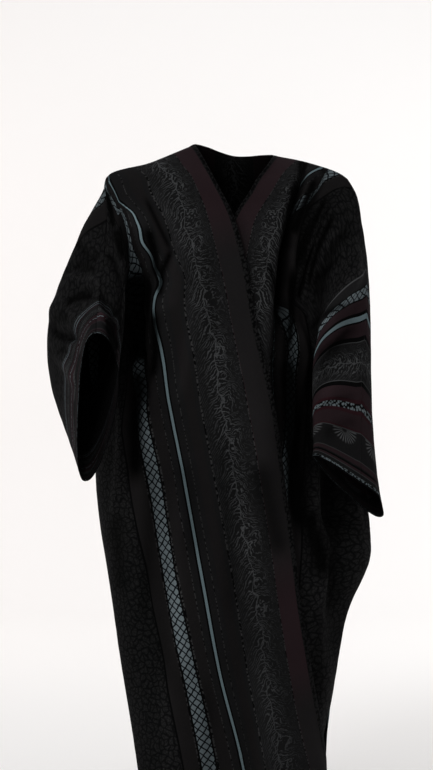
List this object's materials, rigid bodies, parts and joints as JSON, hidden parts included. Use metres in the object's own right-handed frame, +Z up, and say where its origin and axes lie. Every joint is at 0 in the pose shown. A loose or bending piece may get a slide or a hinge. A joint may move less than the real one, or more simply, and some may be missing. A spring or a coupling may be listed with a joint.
{
  "type": "open-front abaya",
  "caption": "Full-length wrap robe in striped woven cloth, with wide sleeves cut in one with the body and one front crossed over the other.",
  "frame": {"origin": "middle of the neck, level with the shoulders, where the garment hangs on its wearer", "axes": "+Z up, -Y the way the wearer faces, -X the wearer's right"},
  "size_m": [0.6927, 0.3386, 1.4411],
  "materials": {
    "front_right": "matt striped jacquard, mostly black",
    "front_left": "matt striped jacquard, mostly black",
    "back": "matt striped jacquard, mostly black"
  },
  "bodies": {
    "root": {"front_right": "front_right", "front_left": "front_left", "back": "back"}
  },
  "joints": []
}
